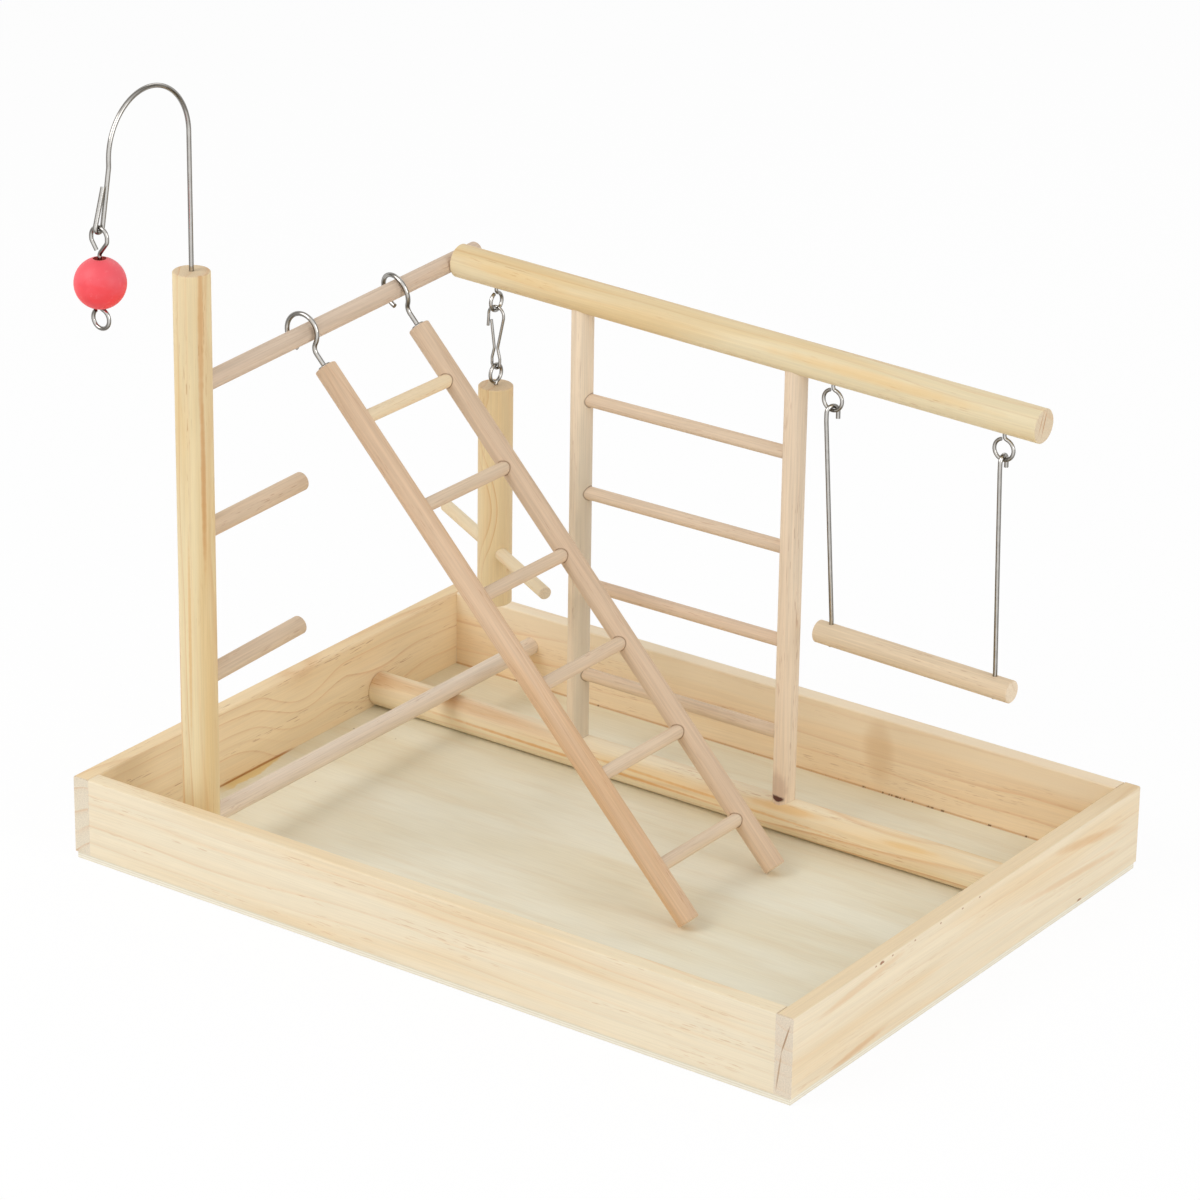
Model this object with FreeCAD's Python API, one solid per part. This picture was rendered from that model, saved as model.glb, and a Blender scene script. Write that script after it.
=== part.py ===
import FreeCAD, Part
import math
import os

# A tabletop play stand for parrots: a shallow wooden tray that carries a frame of dowel perches, with a
# leaning ladder, a swing, a hanging perch and a bead pendant on bent-wire hardware.
# Sizes are in millimetres. X runs along the tray, Y to its back, Z up. The origin is the centre of the
# tray's underside.

Vector = FreeCAD.Vector

# Tray
TRAY_LENGTH = 420.0
TRAY_DEPTH = 305.0
BOARD_THICKNESS = 9.0
BOARD_HEIGHT = 40.4
BOARD_ROUND = 1.0
PANEL_THICKNESS = 3.6
PANEL_INSET = 0.8

# Dowels
POST_DIAMETER = 18.0
BASE_RAIL_DIAMETER = 18.0
MAIN_PERCH_DIAMETER = 17.0
UPRIGHT_DIAMETER = 11.3
CROSS_PERCH_DIAMETER = 9.2
STUB_DIAMETER = 9.4
BACK_RUNG_DIAMETER = 6.8
DOWEL_BEVEL = 0.5

# Fits
GLUE_GAP = 0.05
BUTT_GAP = 0.05
HANG_GAP = 0.2

# Front post with its perches
POST_SIDE_SPACE = 49.0
POST_FRONT_SPACE = 9.0
POST_TOP = 308.0
PERCH_SEAT = 12.0
TOP_CROSS_HEIGHT = 250.0
TOP_CROSS_RISE_DEG = 2.0
TOP_CROSS_YAW_DEG = -0.57
TOP_CROSS_OVERRUN = 20.0
LOW_CROSS_SEAT = 4.0
UPPER_STUB_HEIGHT = 176.1
UPPER_STUB_RISE_DEG = 1.8
UPPER_STUB_LENGTH = 82.5
LOWER_STUB_HEIGHT = 100.6
LOWER_STUB_RISE_DEG = 2.3
LOWER_STUB_LENGTH = 79.8

# Back frame
FRAME_BACK_SPACE = 67.0
MAIN_PERCH_ABOVE_CROSS = 4.9
MAIN_PERCH_DROP_DEG = 1.556
MAIN_PERCH_END_SPACE = 11.3
LEFT_UPRIGHT_X = -73.2
RIGHT_UPRIGHT_X = 52.6
UPRIGHT_SEAT = 5.5
BACK_RUNG_COUNT = 4
BACK_RUNG_FIRST = 56.0
BACK_RUNG_PITCH = 49.1
RUNG_SEAT = 4.0

# Wood screws that hold the frame
SCREW_LENGTH = 16.0
SCREW_SHANK = 2.8
SCREW_HEAD = 6.4
SCREW_HEAD_DEPTH = 2.2
RAIL_SCREW_X = 125.0
PERCH_SCREW_LENGTH = 25.0

# Screw eyes
EYE_WIRE = 1.9
EYE_NECK_RADIUS = 1.9
EYE_CLOSING_GAP = 0.2
EYE_THREAD = 11.0
HANGER_EYE_OUTSIDE = 11.0
HANGER_EYE_STAND = 7.6
HANGER_EYE_FROM_POST = 25.8
SWING_EYE_OUTSIDE = 12.3
SWING_EYE_STAND = 8.4
SWING_EYE_FROM_UPRIGHT = 20.9
SWING_EYE_FROM_END = 21.0

# Snap clip
CLIP_WIRE = 1.5
CLIP_LENGTH = 32.5
CLIP_TOP_RADIUS = 4.6
CLIP_WAIST_WIDTH = 2.0
CLIP_FOOT_RADIUS = 2.4
CLIP_FOOT_HEIGHT = 10.6
CLIP_LATCH_DROP = 11.0
CLIP_GATE_DROP = 7.5

# Hanging perch
HANGING_POST_DIAMETER = 17.6
HANGING_POST_LENGTH = 117.0
POST_EYE_OUTSIDE = 11.0
POST_EYE_STAND = 6.25
CROSS_STICK_DIAMETER = 6.6
CROSS_STICK_LENGTH = 127.0
CROSS_STICK_FROM_FOOT = 28.6
CROSS_STICK_TURN_DEG = -30.0

# Swing
SWING_WIRE = 2.2
SWING_HOOK_RADIUS = 3.3
SWING_LEFT_HOOK_TURN_DEG = 24.0
SWING_RIGHT_HOOK_TURN_DEG = -5.0
SWING_TIP_DROP = 6.9
SWING_KINK_DROP = 7.1
SWING_KINK_RADIUS = 6.0
SWING_DROP = 115.2
SWING_BAR_DIAMETER = 11.3
SWING_LEFT_SPLAY = 3.5
SWING_RIGHT_SPLAY = 1.1
SWING_BAR_LEFT_OVERHANG = 7.6
SWING_BAR_RIGHT_OVERHANG = 9.8
SWING_WIRE_PROUD = 0.4

# Toy hook
TOY_WIRE = 2.3
TOY_WIRE_SEAT = 22.0
TOY_WIRE_RISE = 67.4
TOY_ARCH_RADIUS = 28.0
HAIRPIN_TOP_DROP = 3.0
HAIRPIN_DROP = 31.6
HAIRPIN_SET_OUT = 5.6
HAIRPIN_WIDTH = 5.5
HAIRPIN_RADIUS = 2.4
HAIRPIN_TAIL_RISE = 20.5
HAIRPIN_STRAND_GAP = 0.3

# Bead pendant
BEAD_DIAMETER = 24.3
BEAD_BORE = 6.0
BEAD_REST_GAP = 0.6
BEAD_WIRE = 2.0
BEAD_HOOK_RADIUS = 4.7
BEAD_HOOK_TIP_DROP = 11.2
BEAD_HOOK_TIP_INSET = 3.0
BEAD_HOOK_SIDE_DROP = 6.6
BEAD_HOOK_RETURN = 6.0
BEAD_HOOK_EASE = 3.0
BEAD_HOOK_TO_BEAD = 26.5
BEAD_EYE_RADIUS = 4.7
BEAD_EYE_NECK_RADIUS = 1.6
BEAD_EYE_CLOSING_DEG = 42.0

# Ladder
LADDER_RAIL_DIAMETER = 11.2
LADDER_RAIL_PITCH = 73.4
LADDER_MIDDLE_Y = -4.3
LADDER_FOOT_GAP = 0.3
LADDER_RUNG_DIAMETER = 6.8
LADDER_RUNG_COUNT = 6
LADDER_RUNG_FIRST = 29.8
LADDER_RUNG_PITCH = 51.5
LADDER_HEAD_SPACE = 30.7
LADDER_RUNG_SEAT = 4.5

# Cup hooks at the ladder's head
CUP_WIRE = 2.4
CUP_RING_RADIUS = 9.2
CUP_RING_REACH = 20.4
CUP_RING_SWEEP_DEG = 280.0
CUP_NECK_RADIUS = 4.5
CUP_FLANGE_DIAMETER = 7.0
CUP_FLANGE_THICKNESS = 0.9
CUP_THREAD = 12.0
CUP_THREAD_DIAMETER = 2.0
CUP_REST_GAP = 0.3
CUP_REST_DEG = 30.0
CUP_BACK_TURN_DEG = -17.0

# Places that follow from the sizes
tray_height = PANEL_THICKNESS + BOARD_HEIGHT
inside_x = TRAY_LENGTH / 2 - BOARD_THICKNESS
inside_y = TRAY_DEPTH / 2 - BOARD_THICKNESS
post_x = -inside_x + POST_SIDE_SPACE
post_y = -inside_y + POST_FRONT_SPACE + POST_DIAMETER / 2
frame_y = inside_y - FRAME_BACK_SPACE
main_perch_end_x = inside_x - MAIN_PERCH_END_SPACE
main_perch_height = TOP_CROSS_HEIGHT + MAIN_PERCH_ABOVE_CROSS
hanger_x = post_x + HANGER_EYE_FROM_POST
swing_right_x = main_perch_end_x - SWING_EYE_FROM_END
swing_left_x = RIGHT_UPRIGHT_X + SWING_EYE_FROM_UPRIGHT
base_rail_z = PANEL_THICKNESS + BASE_RAIL_DIAMETER / 2
low_cross_z = PANEL_THICKNESS + BASE_RAIL_DIAMETER + BUTT_GAP + CROSS_PERCH_DIAMETER / 2
drop = math.radians(MAIN_PERCH_DROP_DEG)
rise = math.radians(TOP_CROSS_RISE_DEG)
yaw = math.radians(TOP_CROSS_YAW_DEG)
hanger_ring = (HANGER_EYE_OUTSIDE - EYE_WIRE) / 2
post_ring = (POST_EYE_OUTSIDE - EYE_WIRE) / 2
swing_ring = (SWING_EYE_OUTSIDE - EYE_WIRE) / 2
ladder_rungs_length = (LADDER_RUNG_COUNT - 1) * LADDER_RUNG_PITCH
ladder_rail_length = LADDER_RUNG_FIRST + ladder_rungs_length + LADDER_HEAD_SPACE


def main_perch_axis(x):
    """Point of the main perch's axis at the given x."""
    return Vector(x, frame_y, main_perch_height - math.tan(drop) * x)


def main_perch_underside(x):
    """Height of the main perch's lowest line at the given x."""
    return main_perch_axis(x).z - MAIN_PERCH_DIAMETER / 2 / math.cos(drop)


def top_cross_axis(y):
    """Point of the top cross perch's axis at the given y."""
    run = y - post_y
    return Vector(post_x + math.tan(yaw) * run, y, TOP_CROSS_HEIGHT + math.tan(rise) * run)


def cylinder(start, end, diameter):
    """Plain round bar or drill from one point to another."""
    along = end - start
    return Part.makeCylinder(diameter / 2, along.Length, start, along)


def dowel(start, end, diameter):
    """Round wooden bar with a small bevel round each end."""
    bar = cylinder(start, end, diameter)
    rims = [edge for edge in bar.Edges if isinstance(edge.Curve, Part.Circle)]
    return bar.makeChamfer(DOWEL_BEVEL, rims)


def revolved(profile):
    """Solid turned about Z from a closed outline of (radius, height) pairs."""
    points = [Vector(radius, 0, height) for radius, height in profile]
    outline = Part.makePolygon(points + points[:1])
    return Part.Face(outline).revolve(Vector(0, 0, 0), Vector(0, 0, 1), 360)


def placed(shape, position, direction):
    """Shape moved from the origin, with its Z axis turned to the direction."""
    turn = FreeCAD.Rotation(Vector(0, 0, 1), direction)
    moved = shape.copy()
    moved.Placement = FreeCAD.Placement(position, turn)
    return moved


def arc_xz(centre_x, centre_z, radius, start_deg, stop_deg):
    """Arc in the XZ plane; the angles run from +X towards +Z."""
    angles = [math.radians(deg) for deg in (start_deg, (start_deg + stop_deg) / 2, stop_deg)]
    points = [Vector(centre_x + radius * math.cos(a), 0, centre_z + radius * math.sin(a)) for a in angles]
    return Part.Arc(*points).toShape()


def route(points, radii):
    """Straight runs through the points, each corner rounded by its tangent arc."""
    edges = []
    last = points[0]
    for before, corner, after, radius in zip(points, points[1:], points[2:], radii):
        back = (before - corner).normalize()
        ahead = (after - corner).normalize()
        half = back.getAngle(ahead) / 2
        inward = (back + ahead).normalize()
        enter = corner + back * (radius / math.tan(half))
        leave = corner + ahead * (radius / math.tan(half))
        middle = corner + inward * (radius / math.sin(half) - radius)
        if (enter - last).Length > 0.001:
            edges.append(Part.LineSegment(last, enter).toShape())
        edges.append(Part.Arc(enter, middle, leave).toShape())
        last = leave
    edges.append(Part.LineSegment(last, points[-1]).toShape())
    return edges


def bent_wire(edges, diameter):
    """One unbroken round wire along the edges."""
    path = Part.Wire(edges)
    first = path.OrderedEdges[0]
    start = first.valueAt(first.FirstParameter)
    heading = first.tangentAt(first.FirstParameter)
    section = Part.Wire(Part.makeCircle(diameter / 2, start, heading))
    solid = path.makePipeShell([section], True, False)
    expected = math.pi * diameter ** 2 / 4 * path.Length
    print("wire", round(path.Length, 1), "volume ratio", round(solid.Volume / expected, 4))
    return solid


def loop_with_neck(ring_radius, neck_radius, closing_deg, shank_end):
    """Path down the Z axis, through a neck bend, then round the origin in the XZ plane."""
    neck_z = math.sqrt((ring_radius + neck_radius) ** 2 - neck_radius ** 2)
    meet_deg = math.degrees(math.atan2(neck_z, neck_radius))
    shank = Part.LineSegment(Vector(0, 0, shank_end), Vector(0, 0, neck_z)).toShape()
    neck = arc_xz(neck_radius, neck_z, neck_radius, 180, 180 + meet_deg)
    ring = arc_xz(0, 0, ring_radius, meet_deg, closing_deg + 90 - 360)
    return [shank, neck, ring]


def screw_eye(ring_radius, stand):
    """Eye about the origin in the XZ plane, screwed upwards into wood that starts at the stand.
    Its ring closes to within a gap of the neck bend."""
    to_bend = ring_radius + EYE_NECK_RADIUS
    clear = EYE_NECK_RADIUS + EYE_WIRE + EYE_CLOSING_GAP
    cosine = (ring_radius ** 2 + to_bend ** 2 - clear ** 2) / (2 * ring_radius * to_bend)
    closing_deg = math.degrees(math.acos(cosine) - math.asin(EYE_NECK_RADIUS / to_bend))
    path = loop_with_neck(ring_radius, EYE_NECK_RADIUS, closing_deg, stand + EYE_THREAD)
    return bent_wire(path, EYE_WIRE)


def wood_screw(length):
    """Countersunk screw along +Z with its head's face at the origin."""
    head = SCREW_HEAD / 2
    shank = SCREW_SHANK / 2
    tip_z = length - SCREW_SHANK
    return revolved([(0, 0), (head, 0), (shank, SCREW_HEAD_DEPTH), (shank, tip_z), (0, length)])


def screw_hole(length):
    """Cutter for a wood screw's seat."""
    head = SCREW_HEAD / 2 + GLUE_GAP
    shank = SCREW_SHANK / 2 + GLUE_GAP
    deep = SCREW_HEAD_DEPTH + GLUE_GAP
    tip_z = length - SCREW_SHANK + GLUE_GAP
    return revolved([(0, -1), (head, -1), (head, 0), (shank, deep), (shank, tip_z), (0, length + GLUE_GAP)])


# Tray
def board(length, thickness):
    """Board on its long edge over the origin, its two upper long edges rounded."""
    corner = Vector(-length / 2, -thickness / 2, PANEL_THICKNESS)
    blank = Part.makeBox(length, thickness, BOARD_HEIGHT, corner)
    boxes = [(edge, edge.BoundBox) for edge in blank.Edges]
    upper = [edge for edge, box in boxes if box.ZMin > corner.z and box.XLength > thickness]
    return blank.makeFillet(BOARD_ROUND, upper)


panel_length = TRAY_LENGTH - 2 * PANEL_INSET
panel_depth = TRAY_DEPTH - 2 * PANEL_INSET
panel_corner = Vector(-panel_length / 2, -panel_depth / 2, 0)
base_panel = Part.makeBox(panel_length, panel_depth, PANEL_THICKNESS, panel_corner)
long_board = board(2 * inside_x, BOARD_THICKNESS)
end_board = board(TRAY_DEPTH, BOARD_THICKNESS)
end_board.rotate(Vector(0, 0, 0), Vector(0, 0, 1), 90)
board_y = inside_y + BOARD_THICKNESS / 2
board_x = inside_x + BOARD_THICKNESS / 2
front_board = long_board.translated(Vector(0, -board_y, 0))
back_board = long_board.translated(Vector(0, board_y, 0))
left_board = end_board.translated(Vector(-board_x, 0, 0))
right_board = end_board.translated(Vector(board_x, 0, 0))

# Front post and the perches that it holds
post_foot = Vector(post_x, post_y, PANEL_THICKNESS)
post_head = Vector(post_x, post_y, POST_TOP)
front_post = dowel(post_foot, post_head, POST_DIAMETER)
seat_y = post_y + POST_DIAMETER / 2 - PERCH_SEAT


def post_perch(height, rise_angle, yaw_angle, end_y, diameter):
    """Perch seated in the post's back, and the drill for its hole."""
    heading = Vector(math.tan(yaw_angle), 1, math.tan(rise_angle))
    axis_point = Vector(post_x, post_y, height)
    start = axis_point + heading * (seat_y - post_y)
    end = axis_point + heading * (end_y - post_y)
    perch = dowel(start, end, diameter)
    drill = cylinder(start - heading * GLUE_GAP, end, diameter + 2 * GLUE_GAP)
    return perch, drill


upper_rise = math.radians(UPPER_STUB_RISE_DEG)
lower_rise = math.radians(LOWER_STUB_RISE_DEG)
stub_root = post_y + POST_DIAMETER / 2
top_cross_end = frame_y + TOP_CROSS_OVERRUN
upper_stub_end = stub_root + UPPER_STUB_LENGTH - PERCH_SEAT
lower_stub_end = stub_root + LOWER_STUB_LENGTH - PERCH_SEAT
low_cross_end = inside_y + LOW_CROSS_SEAT
cross = CROSS_PERCH_DIAMETER
top_cross_perch, top_cross_drill = post_perch(TOP_CROSS_HEIGHT, rise, yaw, top_cross_end, cross)
upper_stub_perch, upper_drill = post_perch(UPPER_STUB_HEIGHT, upper_rise, 0, upper_stub_end, STUB_DIAMETER)
lower_stub_perch, lower_drill = post_perch(LOWER_STUB_HEIGHT, lower_rise, 0, lower_stub_end, STUB_DIAMETER)
low_cross_perch, low_cross_drill = post_perch(low_cross_z, 0, 0, low_cross_end, cross)
for drill in (top_cross_drill, upper_drill, lower_drill, low_cross_drill):
    front_post = front_post.cut(drill)
low_cross_root = Vector(post_x, 0, low_cross_z)
low_cross_tip = Vector(post_x, low_cross_end + GLUE_GAP, low_cross_z)
back_board = back_board.cut(cylinder(low_cross_root, low_cross_tip, cross + 2 * GLUE_GAP))

# Back frame
cross_at_frame = top_cross_axis(frame_y)
cross_side_x = cross_at_frame.x + CROSS_PERCH_DIAMETER / 2 / math.cos(yaw)
end_tilt = MAIN_PERCH_DIAMETER / 2 * (math.tan(drop) + math.tan(abs(yaw)))
main_left = main_perch_axis(cross_side_x + end_tilt + BUTT_GAP)
main_right = main_perch_axis(main_perch_end_x)
main_perch = dowel(main_left, main_right, MAIN_PERCH_DIAMETER)
rail_middle = Vector(0, frame_y, base_rail_z)
rail_half = Vector(inside_x, 0, 0)
base_rail = dowel(rail_middle - rail_half, rail_middle + rail_half, BASE_RAIL_DIAMETER)


def upright(x):
    """Upright seated in the base rail and the main perch, and its drill."""
    foot = Vector(x, frame_y, PANEL_THICKNESS + BASE_RAIL_DIAMETER - UPRIGHT_SEAT)
    head = Vector(x, frame_y, main_perch_underside(x) + UPRIGHT_SEAT)
    margin = Vector(0, 0, GLUE_GAP)
    bar = dowel(foot, head, UPRIGHT_DIAMETER)
    drill = cylinder(foot - margin, head + margin, UPRIGHT_DIAMETER + 2 * GLUE_GAP)
    return bar, drill


left_upright, left_drill = upright(LEFT_UPRIGHT_X)
right_upright, right_drill = upright(RIGHT_UPRIGHT_X)
for drill in (left_drill, right_drill):
    main_perch = main_perch.cut(drill)
    base_rail = base_rail.cut(drill)

back_rungs = []
rung_left_x = LEFT_UPRIGHT_X + UPRIGHT_DIAMETER / 2 - RUNG_SEAT
rung_right_x = RIGHT_UPRIGHT_X - UPRIGHT_DIAMETER / 2 + RUNG_SEAT
for index in range(BACK_RUNG_COUNT):
    rung_z = BACK_RUNG_FIRST + index * BACK_RUNG_PITCH
    rung_left = Vector(rung_left_x, frame_y, rung_z)
    rung_right = Vector(rung_right_x, frame_y, rung_z)
    margin = Vector(GLUE_GAP, 0, 0)
    drill = cylinder(rung_left - margin, rung_right + margin, BACK_RUNG_DIAMETER + 2 * GLUE_GAP)
    left_upright = left_upright.cut(drill)
    right_upright = right_upright.cut(drill)
    back_rungs.append(dowel(rung_left, rung_right, BACK_RUNG_DIAMETER))

# Screws: up through the panel into the post and the base rail, and through the cross perch
up = Vector(0, 0, 1)
base_screw_feet = [
    Vector(post_x, post_y, 0),
    Vector(-RAIL_SCREW_X, frame_y, 0),
    Vector(RAIL_SCREW_X, frame_y, 0),
]
base_screws = Part.makeCompound([placed(wood_screw(SCREW_LENGTH), foot, up) for foot in base_screw_feet])
for foot in base_screw_feet:
    seat = placed(screw_hole(SCREW_LENGTH), foot, up)
    base_panel = base_panel.cut(seat)
    front_post = front_post.cut(seat)
    base_rail = base_rail.cut(seat)
screw_sink = CROSS_PERCH_DIAMETER / 2 - math.sqrt((CROSS_PERCH_DIAMETER / 2) ** 2 - (SCREW_HEAD / 2) ** 2)
perch_screw_head = cross_at_frame - Vector(CROSS_PERCH_DIAMETER / 2 - screw_sink, 0, 0)
perch_screw = placed(wood_screw(PERCH_SCREW_LENGTH), perch_screw_head, Vector(1, 0, 0))
perch_screw_seat = placed(screw_hole(PERCH_SCREW_LENGTH), perch_screw_head, Vector(1, 0, 0))
top_cross_perch = top_cross_perch.cut(perch_screw_seat)
main_perch = main_perch.cut(perch_screw_seat)


# Screw eyes under the main perch
def eye_centre(x, stand):
    """Centre of the ring of an eye screwed into the main perch's underside at the given x."""
    return Vector(x, frame_y, main_perch_underside(x) - stand)


def hanging_eye(x, ring_radius, stand, turn_deg):
    """Screw eye under the main perch, its ring turned about the vertical, and its pilot drill."""
    eye = screw_eye(ring_radius, stand)
    eye.rotate(Vector(0, 0, 0), up, turn_deg)
    centre = eye_centre(x, stand)
    drill = cylinder(centre, centre + up * (stand + EYE_THREAD + GLUE_GAP), EYE_WIRE + 2 * GLUE_GAP)
    return eye.translated(centre), drill


swing_left_eye, left_pilot = hanging_eye(swing_left_x, swing_ring, SWING_EYE_STAND, 0)
swing_right_eye, right_pilot = hanging_eye(swing_right_x, swing_ring, SWING_EYE_STAND, 0)
hanger_screw_eye, hanger_pilot = hanging_eye(hanger_x, hanger_ring, HANGER_EYE_STAND, 90)
for drill in (left_pilot, right_pilot, hanger_pilot):
    main_perch = main_perch.cut(drill)

# Snap clip: a latch over the eye's wire, a strand down, a closed foot loop, and a gate back up
clip_rest = (EYE_WIRE + CLIP_WIRE) / 2 + HANG_GAP
clip_pivot = eye_centre(hanger_x, HANGER_EYE_STAND) - up * hanger_ring
clip_top = clip_pivot + up * clip_rest
latch_x = -CLIP_TOP_RADIUS
waist_x = CLIP_WAIST_WIDTH / 2
waist_z = -CLIP_LENGTH + CLIP_FOOT_HEIGHT
gate_x = latch_x + CLIP_WIRE + HANG_GAP
clip_outline = [
    (latch_x - 0.4, -CLIP_LATCH_DROP),
    (latch_x, -CLIP_LATCH_DROP / 2),
    (latch_x, 0),
    (CLIP_TOP_RADIUS, 0),
    (CLIP_TOP_RADIUS, -CLIP_LATCH_DROP / 2),
    (waist_x, waist_z),
    (CLIP_FOOT_RADIUS, waist_z - CLIP_FOOT_HEIGHT / 2),
    (CLIP_FOOT_RADIUS, -CLIP_LENGTH),
    (-CLIP_FOOT_RADIUS, -CLIP_LENGTH),
    (-CLIP_FOOT_RADIUS, waist_z - CLIP_FOOT_HEIGHT / 2),
    (-waist_x, waist_z),
    (gate_x, -CLIP_GATE_DROP),
]
foot_bends = [4.0, 3.0, CLIP_FOOT_RADIUS]
clip_radii = [8.0, CLIP_TOP_RADIUS, CLIP_TOP_RADIUS, 6.0] + foot_bends + foot_bends[::-1]
clip_points = [clip_top + Vector(x, 0, z) for x, z in clip_outline]
snap_clip = bent_wire(route(clip_points, clip_radii), CLIP_WIRE)

# Hanging perch under the clip
clip_foot = clip_top - up * CLIP_LENGTH
post_eye_centre = clip_foot + up * (clip_rest - post_ring)
post_screw_eye = screw_eye(post_ring, POST_EYE_STAND)
post_screw_eye.rotate(Vector(0, 0, 0), up, 90)
post_screw_eye.rotate(Vector(0, 0, 0), Vector(0, 1, 0), 180)
post_screw_eye.translate(post_eye_centre)
hanging_top = post_eye_centre - up * POST_EYE_STAND
hanging_foot = hanging_top - up * HANGING_POST_LENGTH
eye_hole_foot = hanging_top - up * (EYE_THREAD + GLUE_GAP)
turn = math.radians(CROSS_STICK_TURN_DEG)
stick_half = Vector(math.cos(turn), math.sin(turn), 0) * (CROSS_STICK_LENGTH / 2)
stick_centre = hanging_foot + up * CROSS_STICK_FROM_FOOT
hanging_cross_stick = dowel(stick_centre - stick_half, stick_centre + stick_half, CROSS_STICK_DIAMETER)
stick_bore = CROSS_STICK_DIAMETER + 2 * GLUE_GAP
hanging_post = dowel(hanging_foot, hanging_top, HANGING_POST_DIAMETER)
hanging_post = hanging_post.cut(cylinder(stick_centre - stick_half, stick_centre + stick_half, stick_bore))
hanging_post = hanging_post.cut(cylinder(post_eye_centre, eye_hole_foot, EYE_WIRE + 2 * GLUE_GAP))


# Swing
def swing_pivot(x):
    """Centre of the eye's lowest wire, which the swing turns about."""
    return eye_centre(x, SWING_EYE_STAND) - up * swing_ring


def swing_bar_axis(x):
    """Point of the swing bar's axis, which hangs parallel to the main perch."""
    return Vector(x, frame_y, swing_pivot(x).z - SWING_DROP)


def swing_wire(eye_x, hole_x, turn_deg):
    """Wire hooked over an eye and led down through the bar."""
    turned = math.radians(turn_deg)
    top = swing_pivot(eye_x) + up * ((EYE_WIRE + SWING_WIRE) / 2 + HANG_GAP)
    side = Vector(math.sin(turned), math.cos(turned), 0) * SWING_HOOK_RADIUS
    hole = swing_bar_axis(hole_x)
    points = [
        top + side - up * SWING_TIP_DROP,
        top + side,
        top - side,
        top - side - up * SWING_KINK_DROP,
        hole + up * (SWING_BAR_DIAMETER / 2 + SWING_WIRE),
        hole - up * (SWING_BAR_DIAMETER / 2 + SWING_WIRE_PROUD),
    ]
    radii = [SWING_HOOK_RADIUS, SWING_HOOK_RADIUS, SWING_KINK_RADIUS, SWING_KINK_RADIUS]
    return bent_wire(route(points, radii), SWING_WIRE)


left_hole_x = swing_left_x + SWING_LEFT_SPLAY
right_hole_x = swing_right_x + SWING_RIGHT_SPLAY
swing_left_wire = swing_wire(swing_left_x, left_hole_x, SWING_LEFT_HOOK_TURN_DEG)
swing_right_wire = swing_wire(swing_right_x, right_hole_x, SWING_RIGHT_HOOK_TURN_DEG)
bar_left = swing_bar_axis(left_hole_x - SWING_BAR_LEFT_OVERHANG)
bar_right = swing_bar_axis(right_hole_x + SWING_BAR_RIGHT_OVERHANG)
swing_bar = dowel(bar_left, bar_right, SWING_BAR_DIAMETER)
for x in (left_hole_x, right_hole_x):
    reach = up * SWING_BAR_DIAMETER
    hole = cylinder(swing_bar_axis(x) - reach, swing_bar_axis(x) + reach, SWING_WIRE + 2 * GLUE_GAP)
    swing_bar = swing_bar.cut(hole)

# Toy hook: up from the post's head, over in an arch, and folded into a hairpin at its low end
arch_side = Vector(0, -2 * TOY_ARCH_RADIUS, 0)
arch_top = post_head + up * (TOY_WIRE_RISE + TOY_ARCH_RADIUS)
hairpin_top = post_head + arch_side + up * (TOY_WIRE_RISE - HAIRPIN_TOP_DROP)
hairpin_inner = post_head + arch_side + Vector(0, -HAIRPIN_SET_OUT, TOY_WIRE_RISE - HAIRPIN_DROP)
hairpin_outer = hairpin_inner - Vector(0, HAIRPIN_WIDTH, 0)
tail_share = (HAIRPIN_DROP - HAIRPIN_TAIL_RISE - HAIRPIN_TOP_DROP) / (HAIRPIN_DROP - HAIRPIN_TOP_DROP)
tail_beside = hairpin_top + (hairpin_inner - hairpin_top) * tail_share
tail_end = tail_beside - Vector(0, TOY_WIRE + HAIRPIN_STRAND_GAP, 0)
toy_points = [
    post_head - up * TOY_WIRE_SEAT,
    arch_top,
    arch_top + arch_side,
    hairpin_top,
    hairpin_inner,
    hairpin_outer,
    tail_end,
]
toy_radii = [TOY_ARCH_RADIUS, TOY_ARCH_RADIUS, 3 * TOY_WIRE, HAIRPIN_RADIUS, HAIRPIN_RADIUS]
toy_hook_wire = bent_wire(route(toy_points, toy_radii), TOY_WIRE)
wire_seat_foot = post_head - up * (TOY_WIRE_SEAT + GLUE_GAP)
front_post = front_post.cut(cylinder(wire_seat_foot, arch_top, TOY_WIRE + 2 * GLUE_GAP))

# Bead pendant: the wire's hook lies across the hairpin's foot, midway between its strands
hook_rise = (TOY_WIRE + BEAD_WIRE) / 2 + HANG_GAP
strand_share = hook_rise / HAIRPIN_TAIL_RISE
outer_lean = (tail_end.y - hairpin_outer.y) * strand_share
inner_lean = HAIRPIN_SET_OUT * hook_rise / (HAIRPIN_DROP - HAIRPIN_TOP_DROP)
bead_y = (hairpin_inner.y + hairpin_outer.y + outer_lean + inner_lean) / 2
bead_pivot = Vector(post_x, bead_y, hairpin_inner.z)
hook_top = bead_pivot + up * hook_rise
bead_centre = hook_top - up * BEAD_HOOK_TO_BEAD
bore_rim_z = math.sqrt((BEAD_DIAMETER / 2) ** 2 - (BEAD_BORE / 2) ** 2)
eye_outer = BEAD_EYE_RADIUS + BEAD_WIRE / 2
eye_shoulder_z = math.sqrt(eye_outer ** 2 - (BEAD_BORE / 2) ** 2)
bead_eye_centre = bead_centre - up * (bore_rim_z + eye_shoulder_z + BEAD_REST_GAP)
hook_side = BEAD_HOOK_RADIUS
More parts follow.
